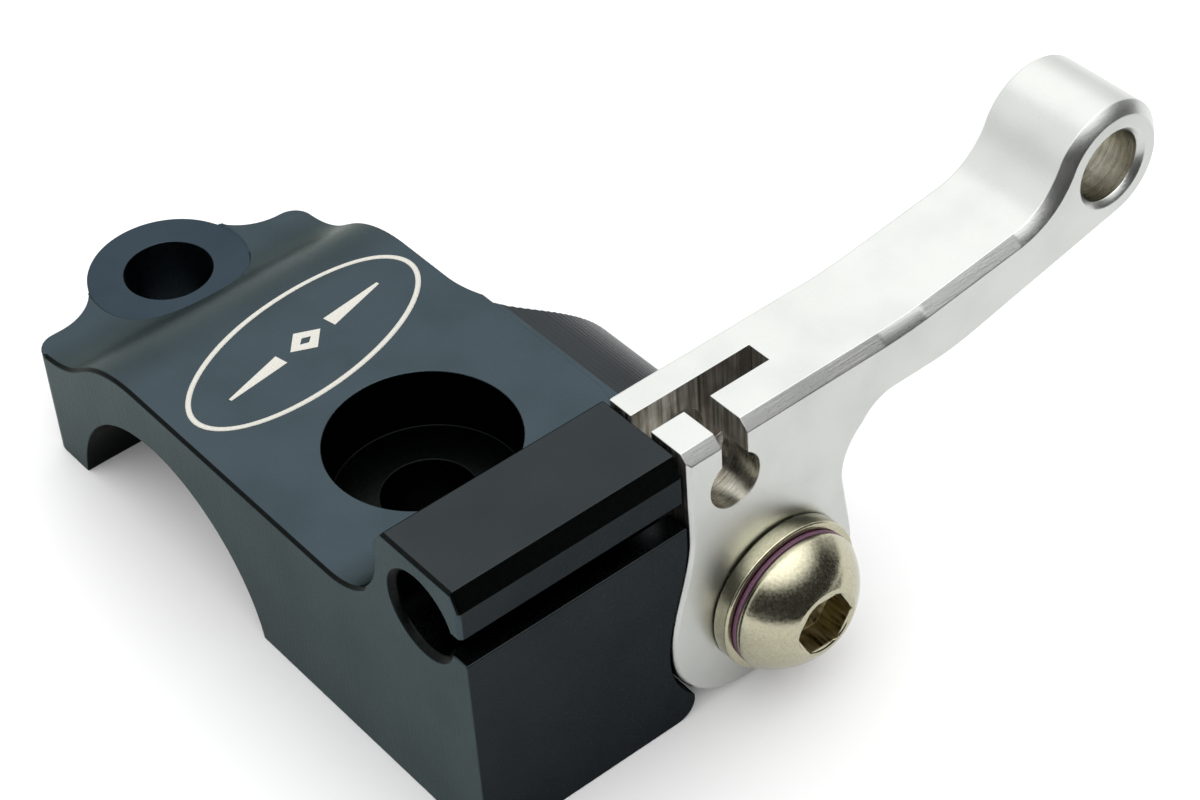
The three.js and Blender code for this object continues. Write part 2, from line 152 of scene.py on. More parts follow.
def slope_spans():
    """Where the slope from the shelf to the plateau starts, in Y, and where its crest's round ends."""
    turn = math.radians(SLOPE_ANGLE)
    straight = PLATEAU_Z - SHELF_Z - (SLOPE_LOW + SLOPE_HIGH) * (1 - math.cos(turn))
    crest_y = SLOPE_TOP_Y + SLOPE_HIGH * math.sin(turn)
    return crest_y + straight / math.tan(turn) + SLOPE_LOW * math.sin(turn), crest_y


def clamp_end_view():
    """Outline from the left, without the saddle."""
    start_y, _ = slope_spans()
    far = FAR_BOLT_Y + BOSS_RADIUS + OVER
    return [
        (FRONT, 0), (far, 0), (far, SHELF_Z),
        *arc(start_y, SHELF_Z + SLOPE_LOW, SLOPE_LOW, -90, -90 - SLOPE_ANGLE, 14),
        *arc(SLOPE_TOP_Y, PLATEAU_Z - SLOPE_HIGH, SLOPE_HIGH, 90 - SLOPE_ANGLE, 90, 24),
        *arc(RIDGE_WALL_Y + RIDGE_FILLET, PLATEAU_Z + RIDGE_FILLET, RIDGE_FILLET, -90, -180, 28),
        (RIDGE_WALL_Y, RIDGE_BEVEL_Z), (RIDGE_REAR_TOP_Y, RIDGE_TOP), (RIDGE_FRONT_TOP_Y, RIDGE_TOP),
        (RIDGE_FRONT_Y, RIDGE_BEVEL_Z), (RIDGE_FRONT_Y, BORE_Z), (FRONT, BORE_Z),
    ]


def clamp_plan():
    """Outline from above: a narrow near end that leaves room for the lever, and the far boss."""
    neck_y = FAR_END + NECK_RADIUS
    neck_x = math.sqrt((BOSS_RADIUS + NECK_RADIUS) ** 2 - (neck_y - FAR_BOLT_Y) ** 2)
    meet = math.degrees(math.atan2(neck_y - FAR_BOLT_Y, neck_x))
    step = math.degrees(math.acos((LUG_FILLET_X - STEP_X) / LUG_FILLET))
    return [
        (LEFT, FRONT - OVER), (RIDGE_RIGHT, FRONT - OVER),
        *arc(RIDGE_RIGHT, STEP_Y, STEP_X - RIDGE_RIGHT, -90, 0, 28),
        *arc(LUG_FILLET_X, LUG_FILLET_Y, LUG_FILLET, 180 + step, 180, 8),
        *arc(RIGHT - CORNER, FAR_END - CORNER, CORNER, 0, 90, 10),
        *arc(neck_x, neck_y, NECK_RADIUS, -90, -180 + meet, 14),
        *arc(0, FAR_BOLT_Y, BOSS_RADIUS, meet, 180 - meet, 48),
        *arc(-neck_x, neck_y, NECK_RADIUS, -meet, -90, 14),
        *arc(LEFT + CORNER, FAR_END - CORNER, CORNER, 90, 180, 10),
    ]


def lug_end_view():
    """Round of the lug in steps, as a ball-nose cutter leaves it."""
    inside = RIDGE_RIGHT - 3
    steps = arc(PIVOT_X, PIVOT_Z, 1.0, -90, 90, CUTTER_STEPS)
    made = [(inside, PIVOT_Z - LUG_RADIUS)]
    for i, (x, z) in enumerate(steps):
        reach = LUG_RADIUS - (CUTTER_DEPTH if i % 2 else 0.0)
        made.append((PIVOT_X + (x - PIVOT_X) * reach, PIVOT_Z + (z - PIVOT_Z) * reach))
    return made + [(inside, PIVOT_Z + LUG_RADIUS)]


def lug_plan():
    """Outline from above, with the fillet that runs from the lug's rear into the block."""
    inside, outside = RIDGE_RIGHT - 3, PIVOT_X + LUG_RADIUS + OVER
    return [
        (inside, LUG_FACE_Y), (outside, LUG_FACE_Y), (outside, LUG_REAR_Y),
        *arc(LUG_FILLET_X, LUG_FILLET_Y, LUG_FILLET, -90, -180, 24), (inside, LUG_FILLET_Y),
    ]


def heel_curve(straight_x, bulge_x, steps=20):
    """From a straight side out to the heel's bulge."""
    pull = (BULGE_TOP_Z - BULGE_END_Z) / 3
    ends = [(straight_x, BULGE_TOP_Z), (straight_x, BULGE_TOP_Z - pull), (bulge_x, BULGE_END_Z + pull)]
    a, b, c, d = [*ends, (bulge_x, BULGE_END_Z)]
    made = []
    for i in range(steps + 1):
        t = i / steps
        s = 1 - t
        made.append(tuple(
            s ** 3 * p + 3 * s * s * t * q + 3 * s * t * t * r + t ** 3 * w for p, q, r, w in zip(a, b, c, d)
        ))
    return made


def heel_pocket():
    """What the lever's heel needs cut out of the block, with the gap round it."""
    right = LEVER_LEFT - STOP_GAP
    reach = HEEL_RADIUS + STOP_GAP
    leave = math.degrees(math.acos((HEEL_X - right) / reach))
    return [
        (right + OVER, BULGE_TOP_Z), *heel_curve(right, HEEL_X - reach),
        *arc(HEEL_X, HEEL_Z, reach, 180, 180 + leave, 24)[1:],
        (right + OVER, HEEL_Z - reach * math.sin(math.radians(leave))),
    ]


def arm_outline(grow):
    """From the top of the throat's hollow, under the arm, round the tip and back along the top."""
    top, under = LEVER_TOP + grow, THROAT_Z + THROAT_RADIUS - grow
    rise, run = math.radians(UNDER_RISE), math.radians(TOP_RISE)
    along = Vector((math.cos(run), math.sin(run)))
    up = Vector((-along.y, along.x))
    to_tip = Vector((TIP_X - TOP_BEND_X, TIP_Z - top))
    tip, neck = TIP_RADIUS + grow, TIP_NECK - grow
    reach = to_tip.dot(along) - math.sqrt((tip + neck) ** 2 - (neck - to_tip.dot(up)) ** 2)
    hollow = Vector((TOP_BEND_X, top)) + along * reach + up * neck
    meet = math.degrees(math.atan2(hollow.y - TIP_Z, hollow.x - TIP_X))
    bend_start = (UNDER_BEND_X - BEND_REACH, under)
    bend_end = (UNDER_BEND_X + BEND_REACH, under + BEND_REACH * math.tan(rise))
    top_start = (TOP_BEND_X + BEND_REACH, top + BEND_REACH * math.tan(run))
    return [
        bend_start, *bend(bend_start, (UNDER_BEND_X, under), bend_end),
        *arc(TIP_X, TIP_Z, tip, UNDER_RISE - 90, meet, 80),
        *arc(hollow.x, hollow.y, neck, meet - 180, TOP_RISE - 90, 30)[1:],
        top_start, *bend(top_start, (TOP_BEND_X, top), (TOP_BEND_X - BEND_REACH, top)),
    ]


def lever_outline(grow=0.0):
    """Outline from the front: heel, hub, throat, arm and tip."""
    dx, dz = THROAT_X - PIVOT_X, THROAT_Z - PIVOT_Z
    touch = math.acos(-(HUB_RADIUS + THROAT_RADIUS) / math.hypot(dx, dz))
    lean = math.degrees(math.atan2(dz, dx) + touch)
    return [
        (LEVER_LEFT - grow, LEVER_TOP + grow), *heel_curve(LEVER_LEFT - grow, HEEL_X - HEEL_RADIUS - grow),
        *arc(HEEL_X, HEEL_Z, HEEL_RADIUS + grow, 180, 270, 30)[1:],
        *arc(PIVOT_X, PIVOT_Z, HUB_RADIUS + grow, -90, lean - 180, 48),
        *arc(THROAT_X, THROAT_Z, THROAT_RADIUS - grow, lean, 90, 36), *arm_outline(grow),
    ]


def chamfer_outline(grow):
    """The arm on a wider base, so that the broad chamfer fades out through the throat."""
    clear = HEEL_X - HEEL_RADIUS - OVER
    hollow = THROAT_FADE - grow
    return [
        (clear, LEVER_TOP + grow), (clear, -OVER), (THROAT_X - hollow, -OVER),
        *arc(THROAT_X, THROAT_Z + THROAT_RADIUS - THROAT_FADE, hollow, 180, 90, 20), *arm_outline(grow),
    ]


def saw_slot():
    """Outline from the front of the cable's slot, with the round that the saw leaves at its end."""
    above = LEVER_TOP + OVER
    floor_end = (SAW_FLOOR_END_X, SAW_FLOOR_Z)
    run_out = bend(floor_end, (SAW_END_X, SAW_FLOOR_Z), (SAW_END_X, LEVER_TOP - SAW_RUN_OUT), 14)
    return [(LEVER_LEFT - OVER, above), (LEVER_LEFT - OVER, SAW_FLOOR_Z), floor_end, *run_out,
            (SAW_END_X, above)]


# ---- solids --------------------------------------------------------------------------------------

TO_ROW = {  # where a drawing's two axes and its depth go
    "X": Matrix(((0, 0, 1), (1, 0, 0), (0, 1, 0))),
    "Y": Matrix(((1, 0, 0), (0, 0, 1), (0, 1, 0))),
    "Z": Matrix.Identity(3),
}


def shown(name, bm):
    mesh = bpy.data.meshes.new(name)
    bm.to_mesh(mesh)
    bm.free()
    made = bpy.data.objects.new(name, mesh)
    scene.collection.objects.link(made)
    return made


def loft(levels, axis):
    """A solid through outlines of equally many points, given with their places along an axis."""
    bm = bmesh.new()
    rings = [[bm.verts.new((u, v, place)) for u, v in outline] for outline, place in levels]
    bm.faces.new(rings[0])
    bm.faces.new(rings[-1])
    for below, above in zip(rings, rings[1:]):
        for i in range(len(below)):
            bm.faces.new((below[i - 1], below[i], above[i], above[i - 1]))
    bm.transform(TO_ROW[axis].to_4x4())
    bmesh.ops.recalc_face_normals(bm, faces=bm.faces)
    return shown("loft", bm)


def prism(outline, axis, low, high):
    return loft([(outline, low), (outline, high)], axis)


def turned(profile, axis, centre, steps=96, closed=False):
    """Turned about an axis from (radius, place along it) pairs. A closed profile makes a ring."""
    bm = bmesh.new()
    rings = []
    for radius, place in profile:
        turns = [2 * math.pi * i / steps for i in range(steps if radius > 0 else 1)]
        rings.append([bm.verts.new((radius * math.cos(t), radius * math.sin(t), place)) for t in turns])
    pairs = list(zip(rings, rings[1:] + rings[:1])) if closed else list(zip(rings, rings[1:]))
    for a, b in pairs:
        for i in range(steps):
            corners = [a[i % len(a)], a[(i + 1) % len(a)], b[(i + 1) % len(b)], b[i % len(b)]]
            bm.faces.new(list(dict.fromkeys(corners)))
    bm.transform(TO_ROW[axis].to_4x4())
    bm.transform(Matrix.Translation(centre))
    bmesh.ops.recalc_face_normals(bm, faces=bm.faces)
    return shown("turned", bm)


def drill(radius, axis, centre, low, high, steps=64):
    return turned([(0, low), (radius, low), (radius, high), (0, high)], axis, centre, steps)


def block(low, high):
    (x0, y0, z0), (x1, y1, z1) = low, high
    return prism([(x0, y0), (x1, y0), (x1, y1), (x0, y1)], "Z", z0, z1)


def join(target, tool, operation):
    """Boolean of two solids. The tool is used up."""
    step = target.modifiers.new(operation, "BOOLEAN")
    step.object, step.operation, step.solver = tool, operation, "EXACT"
    settle(target)
    bpy.data.objects.remove(tool)
    return target


def settle(piece):
    """Replaces a piece's mesh by what its modifiers make of it."""
    bpy.context.view_layer.update()
    graph = bpy.context.evaluated_depsgraph_get()
    made = bpy.data.meshes.new_from_object(piece.evaluated_get(graph))
    piece.modifiers.clear()
    old, piece.data = piece.data, made
    bpy.data.meshes.remove(old)


def clean(piece):
    """Joins doubled vertices and melts the edges that booleans leave across flat faces."""
    bm = bmesh.new()
    bm.from_mesh(piece.data)
    bmesh.ops.remove_doubles(bm, verts=bm.verts, dist=0.002)
    bmesh.ops.dissolve_degenerate(bm, edges=bm.edges, dist=0.002)
    bmesh.ops.dissolve_limit(bm, angle_limit=math.radians(0.15), verts=bm.verts, edges=bm.edges)
    bm.to_mesh(piece.data)
    bm.free()


def soften(piece, width, angle=20.0, segments=2):
    """Rounds every edge sharper than an angle."""
    rounds = piece.modifiers.new("edges", "BEVEL")
    rounds.width, rounds.segments = width, segments
    rounds.limit_method, rounds.angle_limit = "ANGLE", math.radians(angle)
    rounds.use_clamp_overlap = False
    settle(piece)


def second_finish(piece, material, belongs):
    """Gives another finish to the faces whose centre and normal, in millimetres, pass a test."""
    piece.data.materials.append(material)
    for polygon in piece.data.polygons:
        if belongs(polygon.center / MM, polygon.normal):
            polygon.material_index = len(piece.data.materials) - 1


def finish_piece(piece, name, node, body, material):
    """Millimetres to metres, smooth shading, a finish, and the body that the piece moves with.

    The node is the CAD's that the piece replaces, or None for a piece that only adds to the look.
    """
    piece.name = piece.data.name = name
    piece.data.transform(Matrix.Scale(MM, 4))
    for vertex in piece.data.vertices:  # rounding an acute corner can push it out of the real extents
        vertex.co = [min(max(c, low), high) for c, low, high in zip(vertex.co, *cad_box)]
    piece.data.materials.clear()
    piece.data.materials.append(material)
    for polygon in piece.data.polygons:
        polygon.use_smooth = True
    normals = piece.modifiers.new("normals", "WEIGHTED_NORMAL")
    normals.mode, normals.weight = "FACE_AREA", 50
    if node:
        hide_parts(node)
    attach(piece, body)


# ---- pieces --------------------------------------------------------------------------------------

def cable_way():
    """The cable's bore with its flared mouth, and the slot that opens it to the front."""
    depth = MOUTH_RADIUS - BORE_RADIUS
    bore = turned([
        (0, LEFT - OVER), (MOUTH_RADIUS + OVER, LEFT - OVER), (BORE_RADIUS, LEFT + depth),
        (BORE_RADIUS, RIDGE_RIGHT + OVER), (0, RIDGE_RIGHT + OVER),
    ], "X", (0, BORE_Y, BORE_Z), 64)
    half = SLOT_HEIGHT / 2
    slot = block((LEFT - OVER, FRONT - OVER, BORE_Z - half), (RIDGE_RIGHT + OVER, BORE_Y, BORE_Z + half))
    return bore, slot


def bottom_corner():
    """What rounds off the near end's lower right edge, beside the lever's heel."""
    right, corner = RIDGE_RIGHT, BOTTOM_CORNER
    outline = [(right - corner, -OVER), (right + OVER, -OVER), (right + OVER, corner)]
    return prism(outline + arc(right - corner, corner, corner, 0, -90, 12), "Y", FRONT - OVER, LUG_FACE_Y)


def chamfer_left_edge(piece):
    """The narrow chamfer along the top of the clamp's left face, which leaves out the saddle's crown."""
    bm = bmesh.new()
    bm.from_mesh(piece.data)

    def on_left(face):
        return face.normal.x < -0.99

    def on_top(face):
        return abs(face.normal.x) < 0.05 and face.normal.y < 0.75 and face.normal.z > -0.1

    edges = [
        e for e in bm.edges
        if len(e.link_faces) == 2 and sum(on_left(f) for f in e.link_faces) == 1
        and all(abs(v.co.x - LEFT) < 0.01 and v.co.z > SHELF_Z - 0.1 for v in e.verts)
        and all(on_left(f) or on_top(f) for f in e.link_faces)
        and all(math.hypot(v.co.y - BORE_Y, v.co.z - BORE_Z) > MOUTH_RADIUS + 0.1 for v in e.verts)
    ]
    bmesh.ops.bevel(bm, geom=edges, offset=LEFT_CHAMFER, segments=1, profile=0.5, affect="EDGES")
    bm.to_mesh(piece.data)
    bm.free()


def clamp_body():
    """Upper clamp half: the end view and the plan intersected, the lug added, and the holes cut."""
    body = prism(clamp_end_view(), "X", LEFT - OVER, STEP_X + OVER)
    join(body, prism(clamp_plan(), "Z", -OVER / 2, RIDGE_TOP + OVER), "INTERSECT")
    lug = prism(lug_end_view(), "Y", LUG_FACE_Y - OVER, LUG_FILLET_Y + OVER)
    join(lug, prism(lug_plan(), "Z", -OVER, RIDGE_TOP), "INTERSECT")
    join(body, lug, "UNION")
    bore, slot = cable_way()
    far, near = (0, FAR_BOLT_Y, 0), (0, NEAR_BOLT_Y, 0)
    cuts = [
        drill(BAR_RADIUS, "X", (0, 0, -BAR_DROP), LEFT - OVER, LUG_FILLET_X, 160),
        drill(HOLE_RADIUS, "Z", far, -OVER, RIDGE_TOP),
        drill(BOSS_RADIUS + FACE_GAP, "Z", far, FAR_SEAT_Z, RIDGE_TOP, 112),
        drill(HOLE_RADIUS, "Z", near, -OVER, RIDGE_TOP),
        drill(POCKET_RADIUS, "Z", near, NEAR_SEAT_Z, RIDGE_TOP, 112),
        bore, slot,
        prism(heel_pocket(), "Y", FRONT - OVER, LUG_FACE_Y),
        bottom_corner(),
        drill(THREAD_RADIUS, "Y", (PIVOT_X, 0, PIVOT_Z), LUG_FACE_Y - OVER, LUG_REAR_Y + OVER),
    ]
    for cut in cuts:
        join(body, cut, "DIFFERENCE")
    clean(body)
    chamfer_left_edge(body)
    soften(body, CLAMP_ROUND)
    finish_piece(body, "clamp_block", "clamp_body", "clamp", anodised())
    second_finish(body, milled("face_milled", 0.3), on_near_block)
    second_finish(body, milled("ball_milled", 0.9), on_lug)
    second_finish(body, anodised("seat_anodised", (0.026, 0.039, 0.051), (0.034, 0.050, 0.065)), on_far_seat)
    # near-black painted shade in the pocket and on the saddle, and painted dark reflection on the chamfers
    second_finish(body, painted_shade_black(), on_painted_shade)


def on_near_block(centre, normal):
    """The near block but for its left face."""
    return centre.y < RIDGE_WALL_Y + 0.4 * RIDGE_FILLET and normal.x > -0.5


def on_lug(centre, normal):
    """The lug's round and its rear, below the plateau."""
    return centre.x > STEP_X - 0.1 and centre.z < PLATEAU_Z - 0.1 and centre.y > LUG_FACE_Y + 0.1


def on_far_seat(centre, normal):
    """The spot face of the far screw, which shows a little darker than the block round it."""
    around = math.hypot(centre.x, centre.y - FAR_BOLT_Y) < BOSS_RADIUS + FACE_GAP
    return around and normal.z > 0.9 and centre.z < FAR_SEAT_Z + 0.05


def on_painted_shade(centre, normal):
    """Where near-black painted shade goes: painted dark reflection on the chamfers of the left face, the
    ridge's front and the cable hole, and painted shade in the pocket and on the saddle under the arch.
    """
    chamfer = centre.x < LEFT + 0.3 and -0.9 < normal.x < -0.4 and normal.z > 0.3 and centre.z > SHELF_Z - 0.3
    mouth = centre.x < LEFT + 1 and normal.x > -0.9
    mouth = mouth and math.hypot(centre.y - BORE_Y, centre.z - BORE_Z) < MOUTH_RADIUS + 0.05
    pocket = math.hypot(centre.x, centre.y - NEAR_BOLT_Y) < POCKET_RADIUS + CLEAR
    saddle = normal.z < 0.1 and math.hypot(centre.y, centre.z + BAR_DROP) < BAR_RADIUS + CLEAR
    front = centre.y < RIDGE_FRONT_TOP_Y and centre.z > RIDGE_BEVEL_Z - CLEAR and normal.y < -0.5
    return chamfer or mouth or saddle or front or (pocket and centre.z < PLATEAU_Z - 0.12)


def lever():
    """Lever arm: its plain blank cut by a second one that carries the broad chamfer, then the holes."""
    whole, broken = lever_outline(), lever_outline(-EDGE_BREAK)
    front, rear = LEVER_FRONT, LEVER_REAR
    blank = loft([
        (broken, front), (whole, front + EDGE_BREAK), (whole, rear - EDGE_BREAK), (broken, rear),
    ], "Y")
    wide, narrow = chamfer_outline(CLEAR), chamfer_outline(CLEAR - BROAD_CHAMFER)
    broad = loft([
        (narrow, front - CLEAR), (wide, front + BROAD_CHAMFER - CLEAR), (wide, rear + OVER),
    ], "Y")
    join(blank, broad, "INTERSECT")
    flare = TIP_HOLE + COUNTERSINK + OVER
    half = ENTRY_WIDTH / 2
    cuts = [
        prism(saw_slot(), "Y", BORE_Y - SAW_WIDTH / 2, BORE_Y + SAW_WIDTH / 2),
        block((ENTRY_X - half, LEVER_FRONT - OVER, BARREL_Z), (ENTRY_X + half, BORE_Y, LEVER_TOP + OVER)),
        drill(BARREL_RADIUS, "Y", (BARREL_X, 0, BARREL_Z), LEVER_FRONT - OVER, BARREL_REAR_Y),
        drill(LEVER_BORE, "Y", (PIVOT_X, 0, PIVOT_Z), LEVER_FRONT - OVER, LEVER_REAR + OVER),
        turned([
            (0, LEVER_FRONT - OVER), (flare, LEVER_FRONT - OVER), (TIP_HOLE, LEVER_FRONT + COUNTERSINK),
            (TIP_HOLE, LEVER_REAR - COUNTERSINK), (flare, LEVER_REAR + OVER), (0, LEVER_REAR + OVER),
        ], "Y", (TIP_X, 0, TIP_Z), 80),
    ]
    for cut in cuts:
        join(blank, cut, "DIFFERENCE")
    clean(blank)
    soften(blank, LEVER_ROUND)
    finish_piece(blank, "lever_arm", "lever", "lever", satin_aluminium())
    second_finish(blank, sawn_aluminium(), in_saw_cuts)
    second_finish(blank, reamed_aluminium(), in_holes)


def in_saw_cuts(centre, normal):
    """Inside the cable slot and the slot that a barrel end enters by."""
    along = abs(centre.y - BORE_Y) < SAW_WIDTH / 2 + CLEAR and centre.x < SAW_END_X + CLEAR
    entry = abs(centre.x - ENTRY_X) < ENTRY_WIDTH / 2 + CLEAR and centre.y < BORE_Y and abs(normal.x) > 0.9
    return centre.z < LEVER_TOP - 0.1 and centre.z > BARREL_Z - BARREL_RADIUS and (along or entry)


def in_holes(centre, normal):
    """Walls of the tip's hole, of the barrel end's seat and of the pivot's bore."""
    around_tip = math.hypot(centre.x - TIP_X, centre.z - TIP_Z) < TIP_HOLE + 0.05
    around_barrel = math.hypot(centre.x - BARREL_X, centre.z - BARREL_Z) < BARREL_RADIUS + 0.05
    around_pivot = math.hypot(centre.x - PIVOT_X, centre.z - PIVOT_Z) < LEVER_BORE + 0.05
    return abs(normal.y) < 0.5 and (around_tip or around_barrel or around_pivot)


def bushing():
    rear = LUG_FACE_Y - FACE_GAP
    piece = turned([
        (BUSH_INNER, BUSH_FRONT_Y), (BUSH_RADIUS, BUSH_FRONT_Y), (BUSH_RADIUS, FLANGE_FACE_Y),
        (FLANGE_RADIUS, FLANGE_FACE_Y), (FLANGE_RADIUS, rear), (BUSH_INNER, rear),
    ], "Y", PIVOT, 96, closed=True)
    soften(piece, BUSH_ROUND)
    finish_piece(piece, "flanged_bushing", "pivot_bushing", "clamp", bronze())


def flat_ring(radius, rear, thickness, edge):
    """A plain ring on the pivot, forwards from its rear face, with rounded edges."""
    front = rear - thickness
    piece = turned([
        (WASHER_INNER, front), (radius, front), (radius, rear), (WASHER_INNER, rear),
    ], "Y", PIVOT, 128, closed=True)
    soften(piece, edge, segments=3)
    return piece


def washer():
    piece = flat_ring(WASHER_RADIUS, WASHER_REAR, WASHER_THICK, WASHER_ROUND)
    finish_piece(piece, "plain_washer", "pivot_washer", "clamp", stainless())


def head_ring():
    piece = flat_ring(RING_RADIUS, RING_REAR, RING_THICK, RING_ROUND)
    finish_piece(piece, "plum_head_ring", "head_ring", "clamp", plum_ring_colour())


def head_dome(steps=20):
    """Part of a ball that runs through the crown's edge and the rim's edge, as (radius, Y) pairs."""
    height = (HEAD_HEIGHT ** 2 + CROWN ** 2 - HEAD_RIM ** 2 - HEAD_RADIUS ** 2) / 2 / (HEAD_HEIGHT - HEAD_RIM)
    ball = math.hypot(CROWN, HEAD_HEIGHT - height)
    crown_turn, rim_turn = math.asin(CROWN / ball), math.asin(HEAD_RADIUS / ball)
    made = []
    for i in range(steps + 1):
        turn = crown_turn + (rim_turn - crown_turn) * i / steps
        made.append((ball * math.sin(turn), HEAD_REAR - height - ball * math.cos(turn)))
    return made


def hexagon_socket():
    """Six-sided hole with a point at its floor, and the small flare at its mouth."""
    floor_y = HEAD_FRONT + SOCKET_DEPTH
    hole = turned([
        (0, HEAD_FRONT - OVER), (SOCKET_CORNER, HEAD_FRONT - OVER), (SOCKET_CORNER, floor_y),
        (0, floor_y + SOCKET_POINT),
    ], "Y", (0, 0, 0), 6)
    hole.data.transform(Matrix.Rotation(-math.radians(SOCKET_TURN), 4, "Y"))
    hole.data.transform(Matrix.Translation(PIVOT))
    mouth = turned([
        (0, HEAD_FRONT - OVER), (SOCKET_CORNER + OVER, HEAD_FRONT - OVER),
        (SOCKET_CORNER - SOCKET_MOUTH, HEAD_FRONT + SOCKET_MOUTH), (0, HEAD_FRONT + SOCKET_MOUTH),
    ], "Y", PIVOT, 96)
    return hole, mouth


def screw():
    """Button-head screw with a plain shank."""
    piece = turned([
        (0, HEAD_FRONT), *head_dome(),
        (HEAD_RADIUS, HEAD_REAR - HEAD_BREAK), (HEAD_RADIUS - HEAD_BREAK, HEAD_REAR),
        (SHANK, HEAD_REAR), (SHANK, SCREW_END_Y - SHANK_CHAMFER),
        (SHANK - SHANK_CHAMFER, SCREW_END_Y), (0, SCREW_END_Y),
    ], "Y", PIVOT, 128)
    for cut in hexagon_socket():
        join(piece, cut, "DIFFERENCE")
    clean(piece)
    soften(piece, SCREW_ROUND, angle=30)
    finish_piece(piece, "button_head_screw", "pivot_screw", "clamp", stainless())
    second_finish(piece, socket_brown(), in_socket)


def in_socket(centre, normal):
    """The socket's walls and floor, behind its flared mouth."""
    away = math.hypot(centre.x - PIVOT_X, centre.z - PIVOT_Z)
    return away < SOCKET_CORNER + CLEAR / 2 and HEAD_FRONT + SOCKET_MOUTH + CLEAR < centre.y < HEAD_REAR


def deck_height(y):
    """Height of the plateau, which starts to fall away at the crest of the slope."""
    past = max(0.0, y - SLOPE_TOP_Y)
    return PLATEAU_Z - SLOPE_HIGH + math.sqrt(SLOPE_HIGH ** 2 - past ** 2)


def decal(bm, inner, outer):
    """A flat band between two loops of points, laid on the deck and a hair proud of it."""
    def lift(point, height):
        turned_point = Matrix.Rotation(math.radians(MARK_TILT), 2) @ Vector(point)
        x, y = turned_point + Vector(MARK_CENTRE)
        return bm.verts.new((x, y, deck_height(y) + height))

    levels = ((inner, MARK_SUNK), (inner, MARK_PROUD), (outer, MARK_PROUD), (outer, MARK_SUNK))
    loops = [[lift(point, height) for point in loop] for loop, height in levels]
    count = len(inner)
    for a, b in zip(loops, loops[1:] + loops[:1]):
        for i in range(count):
            j = (i + 1) % count
            bm.faces.new((a[i], a[j], b[j], b[i]))


def oval(a, b, steps=120):
    turns = [2 * math.pi * i / steps for i in range(steps)]
    return [(a * math.cos(t), b * math.sin(t)) for t in turns]


def mark():
    """Pale etched oval with a plain lozenge between two tapers."""
    bm = bmesh.new()
    a, b = MARK_SIZE
    half = MARK_LINE / 2
    decal(bm, oval(a - half, b - half), oval(a + half, b + half))
    decal(bm, oval(*LOZENGE_INNER, 4), oval(*LOZENGE_OUTER, 4))
    for side in (-1, 1):
        near, far, thick, thin = TAPER_NEAR * side, TAPER_FAR * side, TAPER_THICK, TAPER_THIN
        outer = [(near, -thick), (far, -thin), (far, thin), (near, thick)]
        middle = ((near + far) / 2, 0.0)
        decal(bm, [middle] * 4, outer)
    bmesh.ops.remove_doubles(bm, verts=bm.verts, dist=0.001)
    bmesh.ops.recalc_face_normals(bm, faces=bm.faces)
    piece = shown("etched_mark", bm)
    finish_piece(piece, "etched_mark", None, "clamp", etched())


# ---- finishes ------------------------------------------------------------------------------------

def add(tree, kind, settings=None, **inputs):
    """A shader node with its settings and inputs; an input may be another node's output."""
    node = tree.nodes.new("ShaderNode" + kind)
    for key, value in (settings or {}).items():
        setattr(node, key, value)
    for key, value in inputs.items():
        socket = node.inputs[key.replace("_", " ")]
        if isinstance(value, bpy.types.NodeSocket):
            tree.links.new(value, socket)
        else:
            socket.default_value = value
    return node


def new_material(name):
    """A material, its node tree and its principled shader."""
    material = bpy.data.materials.new(name)
    material.use_nodes = True
    tree = material.node_tree
    return material, tree, tree.nodes["Principled BSDF"]


def metal(name, tint=None):
    """A metal; a tint below white takes away from what it reflects at grazing angles."""
    material, tree, shader = new_material(name)
    shader.inputs["Metallic"].default_value = 1.0
    if tint:
        shader.inputs["Specular Tint"].default_value = (*tint, 1)
    return material, tree, shader


def noise(tree, size, stretch=(1, 1, 1), detail=3.0):
    """Noise whose features are this many millimetres across, drawn out along the axes by stretch."""
    place = add(tree, "TexCoord").outputs["Object"]
    scaled = add(tree, "Mapping", Vector=place, Scale=tuple(1 / s for s in stretch))
    texture = add(tree, "TexNoise", Vector=scaled.outputs[0], Scale=1 / (size * MM), Detail=detail)
    return texture.outputs["Fac"]


def spread(tree, value, low, high):
    """A noise value spread over a range."""
    out = add(tree, "MapRange", Value=value, From_Min=0.3, From_Max=0.7, To_Min=low, To_Max=high)
    return out.outputs["Result"]


def weighted(tree, value, weight, plus):
    """A value times a weight, plus another value."""
    out = add(tree, "Math", {"operation": "MULTIPLY_ADD"})
    tree.links.new(value, out.inputs[0])
    out.inputs[1].default_value = weight
    tree.links.new(plus, out.inputs[2])
    return out.outputs[0]


def blend(tree, factor, a, b):
    """A colour between two, by a factor."""
    mix = add(tree, "Mix", {"data_type": "RGBA"}, Factor=factor)
    for key, colour in ((6, a), (7, b)):
        mix.inputs[key].default_value = (*colour, 1)
    return mix.outputs[2]


def connect(tree, value, shader, name):
    tree.links.new(value, shader.inputs[name])


def bump(tree, shader, height, depth, below=None):
    """Relief of that many millimetres."""
    node = add(tree, "Bump", Height=height, Distance=depth * MM, Strength=1.0)
    if below is not None:
        tree.links.new(below, node.inputs["Normal"])
    connect(tree, node.outputs[0], shader, "Normal")
    return node.outputs[0]


def anodised(name="black_anodised", low=(0.037, 0.053, 0.062), high=(0.048, 0.066, 0.078)):
    """Tumbled and anodised: a bluish black with a fine grain and brushed lines up its sides."""
    material, tree, shader = metal(name, (0.61, 0.64, 0.60))
    grit, broad = noise(tree, 0.16, detail=4.0), noise(tree, 6.0, detail=2.0)
    brushed = noise(tree, 0.14, (1, 1, 45))
    tone = weighted(tree, spread(tree, grit, 0, 1), 0.6, spread(tree, broad, 0, 1))
    connect(tree, blend(tree, tone, low, high), shader, "Base Color")
    connect(tree, spread(tree, grit, 0.27, 0.40), shader, "Roughness")
    grain = bump(tree, shader, grit, 0.018)
    bump(tree, shader, brushed, 0.016, grain)
    return material


